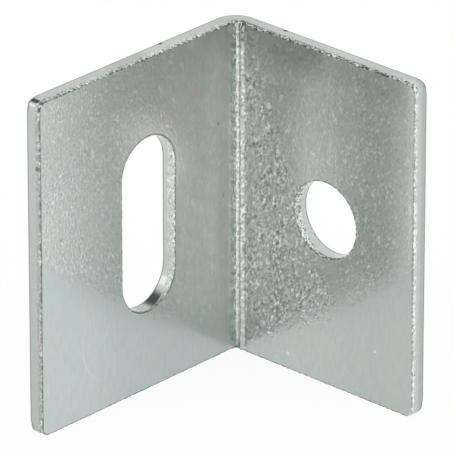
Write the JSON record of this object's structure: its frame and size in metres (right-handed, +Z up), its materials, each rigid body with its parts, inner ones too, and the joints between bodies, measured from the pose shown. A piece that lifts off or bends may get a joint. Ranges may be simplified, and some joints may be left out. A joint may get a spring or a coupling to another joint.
{
  "type": "corner brace bracket",
  "caption": "Right-angle corner brace folded from zinc-plated sheet steel, with a slot in one leg and a round hole in the other.",
  "frame": {"origin": "centre of the footprint, on the plane that the lower cut edges stand on", "axes": "+Z up along the fold, the leg with the round hole runs along +X with its back to +Y, the slotted leg runs along -Y with its back to -X"},
  "size_m": [0.0286, 0.033, 0.04],
  "materials": {
    "zinc_plated_steel": "bright zinc plating on cold-rolled sheet, fine vertical rolling lines, satin"
  },
  "bodies": {
    "root": {"bracket": "zinc_plated_steel"}
  },
  "joints": []
}
